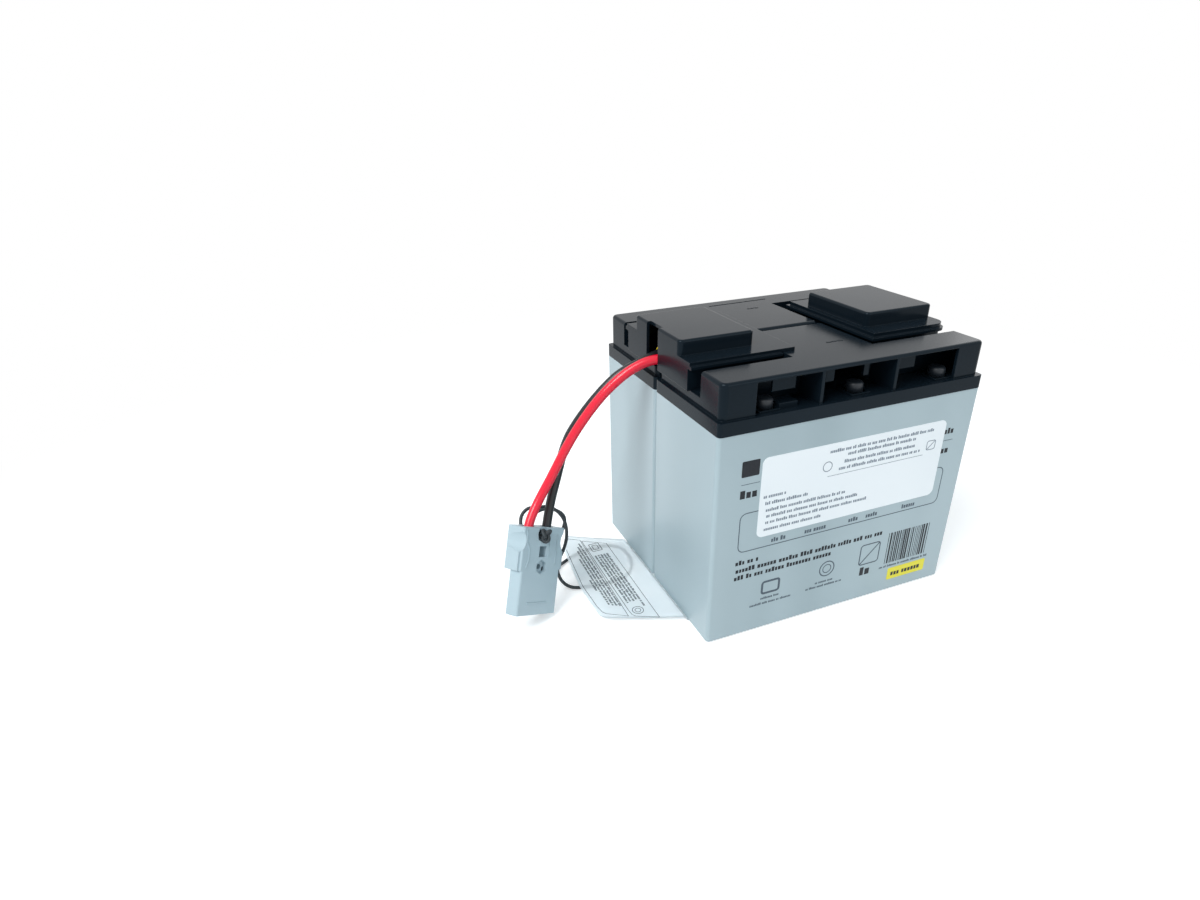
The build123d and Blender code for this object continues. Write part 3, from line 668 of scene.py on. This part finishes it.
def valve_caps(node_name, side):
    """Round caps, turned about upright lines."""
    caps = bmesh.new()
    for place in CAP_PLACES:
        rings = []
        for radius, height in CAP_PROFILE:
            points = circle(place, side * CAP_Y, radius, CAP_STEPS)
            rings.append([caps.verts.new(Vector((x, y, height)) * MM) for x, y in points])
        for upper, lower in zip(rings, rings[1:]):
            for a in range(CAP_STEPS):
                b = (a + 1) % CAP_STEPS
                caps.faces.new((upper[a], lower[a], lower[b], upper[b]))
        caps.faces.new(rings[0])
        caps.faces.new(rings[-1][::-1])
    bmesh.ops.recalc_face_normals(caps, faces=caps.faces)
    for face in caps.faces:
        face.smooth = len(face.verts) == 4
    name = f"{node_name}_round"
    add_piece(name, mesh_data(name, caps), cap_finish, node_name)


for half, side in (("front", -1), ("back", 1)):
    opened_lid(f"{half}_lid", side)
    lid_details(f"{half}_lid", side)
    valve_caps(f"{half}_valve_caps", side)

# Faint moulded marks on top of the lids, in millimetres: one long line, and rows of short dashes,
# each row given by its left end, its y, its length and the dashes' thickness
LID_TOP = 167.0
LID_LINE = ((-18.5, 63.5), (28.0, 64.5))
LID_LINE_WIDTH = 0.5
LID_DASHES = ((2.0, 46.5, 9.0, 1.2), (-22.0, 19.0, 4.0, 1.2), (3.0, -38.5, 12.0, 1.4))
DASHES_IN_ROW = 3
DASH_SHARE = 0.25
MIDDLE_DASH_SLANT = 0.4
MARK_SUNK = 0.05
MARK_PROUD = 0.2


def lid_top_place(x, y, lift):
    """Point in metres on the top of the lids."""
    return Vector((x, y, LID_TOP + lift)) * MM


lid_marks = stroke(LID_LINE, LID_LINE_WIDTH)
for row_left, y, length, thickness in LID_DASHES:
    for part in range(DASHES_IN_ROW):
        left = row_left + part * length / DASHES_IN_ROW
        slant = MIDDLE_DASH_SLANT if part == 1 else 0.0
        lid_marks += stroke(((left, y), (left + length * DASH_SHARE, y + slant)), thickness)
plates("lid_marks", lid_marks, lid_top_place, lid_finish, sunk=MARK_SUNK, proud=MARK_PROUD)

# Pull film, in millimetres: flat under the pack, and a tab beside it that lifts a little towards
# its edge. Its high and low sides are y along x, its cut is the sheet's outline before it was laid,
# and its rows are closest where its shape turns
TAB_EDGE = -142.8
FILM_END = 84.0
FILM_HIGH = ((TAB_EDGE, 4.2), (-138.9, 47.5), (-130.0, 66.3), (-90.5, 45.0), (FILM_END, 45.0))
FILM_LOW = (
    (TAB_EDGE, 3.6),
    (-142.15, -27.5),
    (-141.5, -30.6),
    (-140.2, -32.6),
    (-138.0, -34.4),
    (-90.5, -52.0),
    (FILM_END, -52.0),
)
FILM_ROWS = (
    *(TAB_EDGE, -142.6, -142.3, -142.0, -141.6, -141.1, -140.5, -139.8, -138.9, -137.5),
    *(-136.0 + 2.0 * a for a in range(22)),
    *(-92.4, -91.9, -91.3, -90.7, -90.3, -89.9, -80.0, -40.0, 0.0, 40.0, FILM_END),
)
FILM_ACROSS = 36
FILM_THICKNESS = 0.4
FILM_RISE = 2.6
RISE_START = -89.9
RISE_LENGTH = 2.5
FILM_CURL = 1.5
CURL_START = -104.0
CURL_MIDDLE_Y = 8.0
CURL_HALF_WIDTH = 45.0
CURL_MIDDLE_SHARE = 0.3


def between(line, place):
    """Value at a place along points given in rising order."""
    for (first, low), (second, high) in zip(line, line[1:]):
        if place <= second:
            return low + (high - low) * (place - first) / (second - first)
    return line[-1][1]


def clamped(share):
    """Share kept between nought and one."""
    return min(1.0, max(0.0, share))


def film_under(x, y):
    """Height of the film's underside: a soft step beside the pack, then a curl towards the tab's edge."""
    rise = clamped((RISE_START - x) / RISE_LENGTH)
    curl = clamped((CURL_START - x) / (CURL_START - TAB_EDGE))
    side = abs(y - CURL_MIDDLE_Y) / CURL_HALF_WIDTH
    curl_share = min(1.0, CURL_MIDDLE_SHARE + (1 - CURL_MIDDLE_SHARE) * side * side)
    return FILM_RISE * rise * rise * (3 - 2 * rise) + FILM_CURL * curl * curl * curl_share


def film_mesh():
    """Closed sheet: an under and an upper side with the same rows, joined round the edge."""
    mesh = bmesh.new()
    layers = []
    for lift in (0.0, FILM_THICKNESS):
        rows = []
        for x in FILM_ROWS:
            low, high = between(FILM_LOW, x), between(FILM_HIGH, x)
            places = [low + (high - low) * a / FILM_ACROSS for a in range(FILM_ACROSS + 1)]
            rows.append([mesh.verts.new(Vector((x, y, film_under(x, y) + lift)) * MM) for y in places])
        layers.append(rows)
    under, over = layers
    last = len(FILM_ROWS) - 1
    for a in range(last):
        for b in range(FILM_ACROSS):
            for rows in layers:
                mesh.faces.new((rows[a][b], rows[a + 1][b], rows[a + 1][b + 1], rows[a][b + 1]))
        for b in (0, FILM_ACROSS):
            mesh.faces.new((under[a][b], under[a + 1][b], over[a + 1][b], over[a][b]))
    for a in (0, last):
        for b in range(FILM_ACROSS):
            mesh.faces.new((under[a][b], under[a][b + 1], over[a][b + 1], over[a][b]))
    bmesh.ops.recalc_face_normals(mesh, faces=mesh.faces)
    for face in mesh.faces:
        face.smooth = abs(face.normal.z) > 0.5
    return mesh


film_piece = add_piece("film_sheet", mesh_data("film_sheet", film_mesh()), film_finish, "pull_film")

# Prints: generic lines, blocks and rings where print stands, with no lettering. Places on the front
# are x and z, and the sizes of the solids that carry the prints come first, all in millimetres
CASE_FRONT = -76.25
CASE_TOP = 138.0
CASE_HEIGHT = 137.6
CASE_DRAFT = 0.5
LABEL_THICKNESS = 0.2

# Blocks of print as shares of the height of their row
BLOCK_PACE = 0.74
BOLD_PACE = 0.86
BLOCK_TOPS = (0.74, 0.74, 0.78, 1.0)

# Widths and gaps of blocks, and the room that the last one needs, as shares of their pace
BLOCK_WIDTHS = (0.5, 0.72)
BLOCK_GAP = 0.2
WORD_GAP = 0.55
BLOCK_ROOM = 0.6
BLOCKS_IN_WORD = (2, 8)

# Bars of a code field, and the room that the last one needs, in millimetres
BAR_WIDTHS = (0.45, 0.45, 0.9, 1.3)
BAR_GAPS = (0.45, 0.8, 1.1)
BAR_ROOM = 0.5

randoms = random.Random(7)


def front_place(x, z, lift):
    """Point in metres on the drafted front face, lifted off it."""
    y = CASE_FRONT + CASE_DRAFT * (CASE_TOP - z) / CASE_HEIGHT - lift
    return Vector((x, y, z)) * MM


def film_place(along, x, lift):
    """Point in metres on the film, where along runs towards the front."""
    return Vector((x, -along, film_under(x, -along) + FILM_THICKNESS + lift)) * MM


def words(rows, bold=False):
    """Rows of small plain blocks with gaps, each given by its left, right, foot and height."""
    blocks = []
    for left, right, foot, height in rows:
        start = left
        pace = height * (BOLD_PACE if bold else BLOCK_PACE)
        while start < right - pace:
            for _ in range(randoms.randint(*BLOCKS_IN_WORD)):
                if start > right - pace * BLOCK_ROOM:
                    break
                width = pace * randoms.uniform(*BLOCK_WIDTHS)
                top = foot + height * randoms.choice(BLOCK_TOPS)
                blocks.append(plain(start, start + width, foot, top))
                start += width + pace * BLOCK_GAP
            start += pace * WORD_GAP
    return blocks


def print_rows(ends, foot, height, pitch=0.0):
    """Rows given by their left and right ends, each a pitch below the one before."""
    return [(left, right, foot - pitch * a, height) for a, (left, right) in enumerate(ends)]


def bars(left, right, foot, top):
    """Upright bars of uneven width, as in a code field."""
    row = []
    place = left
    while place < right - BAR_ROOM:
        width = randoms.choice(BAR_WIDTHS)
        row.append(plain(place, min(place + width, right), foot, top))
        place += width + randoms.choice(BAR_GAPS)
    return row


# Bold print and a code field on the front of the case. A row is its left, right, foot and height
BOLD_ROWS = (
    (-74.3, -62.6, 97.4, 5.2),
    (68.9, 77.0, 110.4, 3.9),
    (69.3, 77.0, 97.2, 4.2),
    (-73.8, -56.3, 52.4, 3.2),
    (-73.3, 34.5, 46.9, 3.2),
    (-74.0, -4.3, 41.7, 3.2),
    (20.8, 32.4, 18.6, 6.2),
)
case_marks = [rounded(-74.3, -62.9, 111.0, 120.9, corner=0.6, steps=2)]
case_marks += words(BOLD_ROWS, bold=True)
case_marks += bars(left=40.2, right=74.5, foot=22.5, top=46.2)
plates("case_marks", case_marks, front_place, dark_ink)

# Thin rules, the large frame with its row of print, small print and signs on the case
FRAME_ENDS = ((-50.4, -39.1), (-27.0, -11.4), (5.0, 15.5), (18.1, 27.6), (46.0, 56.9))
SMALL_ROWS = (
    (-53.9, -40.3, 22.1), (-61.3, -30.8, 18.4), (-13.9, -0.2, 21.9), (-20.6, 7.0, 18.9), (36.7, 76.6, 19.4)
)
SMALL_HEIGHT = 1.7
case_lines = stroke(((-74.0, 106.3), (-62.0, 106.3)), width=0.35)
case_lines += stroke(((68.4, 105.9), (77.0, 105.9)), width=0.35)
case_lines += stroke(rounded(-73.0, 74.8, 61.3, 87.3, corner=4.0), width=0.6, closed=True)
case_lines += words(print_rows(FRAME_ENDS, foot=63.2, height=3.0))
case_lines += words([(*row, SMALL_HEIGHT) for row in SMALL_ROWS])
case_lines += stroke(rounded(-53.5, -41.5, 26.5, 35.0, corner=1.6), width=1.5, closed=True)
case_lines += ring(-6.2, 32.0, radius=5.4, width=0.8)
case_lines += ring(-6.2, 32.0, radius=3.0, width=0.6)
case_lines += stroke(rounded(19.0, 34.0, 27.0, 42.0, corner=2.0), width=0.8, closed=True)
case_lines += stroke(((19.6, 27.6), (33.4, 41.4)), width=0.8)
plates("case_lines", case_lines, front_place, grey_ink)

# Small print, a rule and signs on the white label, and one bold row on the yellow one
LABEL_ROWS = (
    (-16.0, 60.5, 114.6),
    (-3.0, 47.0, 111.0),
    (-4.9, 48.7, 106.4),
    (-8.3, 52.6, 102.2),
    (-58.7, -43.0, 94.5),
    (-57.2, -26.0, 90.0),
    (-56.4, -0.9, 85.4),
    (-55.7, 8.6, 81.3),
    (-56.0, 15.7, 77.1),
    (-56.6, -16.3, 72.5),
)
LABEL_HEIGHT = 2.1
YELLOW_ROW = (47.4, 73.0, 11.4, 3.6)
label_lines = words([(*row, LABEL_HEIGHT) for row in LABEL_ROWS])
label_lines += stroke(((-15.8, 99.5), (54.7, 99.5)), width=0.3)
label_lines += ring(-16.6, 106.2, radius=3.1, width=0.5)
label_lines += stroke(rounded(56.6, 63.0, 102.2, 108.2, corner=1.2), width=0.5, closed=True)
label_lines += stroke(((57.0, 102.6), (62.6, 107.8)), width=0.5)
plates("label_lines", label_lines, front_place, pale_ink, base=LABEL_THICKNESS)
plates("yellow_lines", words([YELLOW_ROW], bold=True), front_place, dark_ink, base=LABEL_THICKNESS)

# Two printed frames on the film, each with rows that run across the tab, and signs beside the rows.
# Places are y towards the front, and x
FILM_FRAMES = (
    (
        (-61.8, -131.0), (-47.3, -137.0), (-3.7, -140.8), (20.3, -140.0),
        (27.0, -139.0), (30.0, -137.4), (37.1, -124.9), (-57.3, -123.1),
    ),
    ((-55.5, -122.4), (-46.0, -106.4), (45.4, -107.0), (38.9, -120.6), (36.4, -122.2), (31.7, -122.5)),
)
OUTER_ENDS = ((-53.0, 26.0), (-49.0, 25.0), (-44.0, 24.0), (-34.0, 22.0), (-8.0, 5.0))
INNER_ENDS = ((-34.0, 32.0), *[(-34.0, 25.0)] * 4)
FILM_PRINT_SUNK = 0.015
FILM_PRINT_PROUD = 0.02
film_lines = [strip for outline in FILM_FRAMES for strip in stroke(outline, width=0.35, closed=True)]
film_lines += words(print_rows(OUTER_ENDS, foot=-126.2, height=1.5, pitch=2.1))
film_lines += words(print_rows(INNER_ENDS, foot=-111.6, height=1.6, pitch=2.2))
film_lines += stroke(rounded(-49.0, -39.5, -119.5, -112.0, corner=0.8), width=0.5, closed=True)
film_lines += stroke(rounded(-47.0, -41.5, -117.8, -113.8, corner=0.6), width=0.5, closed=True)
film_lines += ring(33.8, -116.8, radius=3.6, width=0.45)
film_lines += ring(33.8, -116.8, radius=1.9, width=0.4)
film_print = plates(
    "film_lines", film_lines, film_place, film_ink, sunk=FILM_PRINT_SUNK, proud=FILM_PRINT_PROUD
)

# Studio, in metres: a floor that is lit near the object and the background's white further out
WHITE = (1.0, 1.0, 1.0, 1.0)
FLOOR_REACH = 6.0
FLOOR_DROP = 0.0001
FLOOR_GLOW = 0.4
FLOOR_GLOW_THROUGH_FILM = 0.8
FADE_START = 0.28
FADE_END = 0.7
SKY_TONE = (0.93, 0.97, 1.0, 1.0)
SKY_STRENGTH = 0.52


def seen_rays(tree, rays):
    """One for camera, glossy and transmitted rays, nought for the light that reaches surfaces."""
    first = calculate(tree, "MAXIMUM", rays.outputs["Is Camera Ray"], rays.outputs["Is Glossy Ray"])
    return calculate(tree, "MAXIMUM", first, rays.outputs["Is Transmission Ray"])


def floor_finish():
    """Pale floor with a glow of its own, which fades into plain white with the distance."""
    material = bpy.data.materials.new("floor")
    material.use_nodes = True
    tree = material.node_tree
    tree.nodes.clear()
    rays = add_node(tree, "LightPath")
    seen = seen_rays(tree, rays)
    glow = calculate(
        tree,
        "MAXIMUM",
        calculate(tree, "MULTIPLY", seen, FLOOR_GLOW),
        calculate(tree, "MULTIPLY", rays.outputs["Is Transmission Ray"], FLOOR_GLOW_THROUGH_FILM),
    )
    near = add_node(
        tree, "BsdfPrincipled", Base_Color=srgb(240, 243, 244), Roughness=0.7, Specular_IOR_Level=0.1,
        Emission_Color=WHITE, Emission_Strength=glow,
    )
    distance = add_node(tree, "VectorMath", add_node(tree, "TexCoord").outputs["Object"])
    distance.operation = "LENGTH"
    fade = add_node(tree, "MapRange", Value=distance.outputs["Value"], From_Min=FADE_START, From_Max=FADE_END)
    fade.interpolation_type = "SMOOTHSTEP"
    far = add_node(tree, "Emission", Strength=1.0)
    share = calculate(tree, "MULTIPLY", seen, fade.outputs["Result"])
    choice = add_node(tree, "MixShader", share, near.outputs["BSDF"], far.outputs["Emission"])
    add_node(tree, "OutputMaterial", Surface=choice.outputs["Shader"])
    return material


def add_floor():
    """Large square just under the object."""
    reach = FLOOR_REACH
    corners = [(-reach, -reach, 0), (reach, -reach, 0), (reach, reach, 0), (-reach, reach, 0)]
    data = bpy.data.meshes.new("floor")
    data.from_pydata(corners, [], [(0, 1, 2, 3)])
    data.materials.append(floor_finish())
    floor = add_object("floor", data)
    floor.location.z = -FLOOR_DROP


def add_sky():
    """Even light from all sides, which is itself seen as plain white."""
    world = bpy.data.worlds.new("studio")
    bpy.context.scene.world = world
    world.use_nodes = True
    tree = world.node_tree
    tree.nodes.clear()
    lit = add_node(tree, "Background", Color=SKY_TONE, Strength=SKY_STRENGTH)
    seen = add_node(tree, "Background", Color=WHITE, Strength=1.0)
    share = seen_rays(tree, add_node(tree, "LightPath"))
    choice = add_node(tree, "MixShader", share, lit.outputs["Background"], seen.outputs["Background"])
    add_node(tree, "OutputWorld", Surface=choice.outputs["Shader"])


def add_lamp(name, place, target, size, power):
    """Soft square lamp that isn't seen itself."""
    data = bpy.data.lights.new(name, "AREA")
    data.shape = "SQUARE"
    data.size = size
    data.energy = power
    lamp = add_object(name, data)
    lamp.location = place
    aim = Vector(target) - Vector(place)
    lamp.rotation_mode = "QUATERNION"
    lamp.rotation_quaternion = aim.to_track_quat("-Z", "Y")
    lamp.visible_camera = False


add_floor()
add_sky()
add_lamp("key", place=(-1.35, -0.5, 1.75), target=(0, 0, 0.08), size=1.1, power=36.0)
add_lamp("fill", place=(0.9, -1.8, 1.0), target=(0, 0, 0.08), size=1.2, power=5.0)
add_lamp("side", place=(1.7, 0.7, 1.1), target=(0, 0, 0.1), size=1.2, power=5.0)
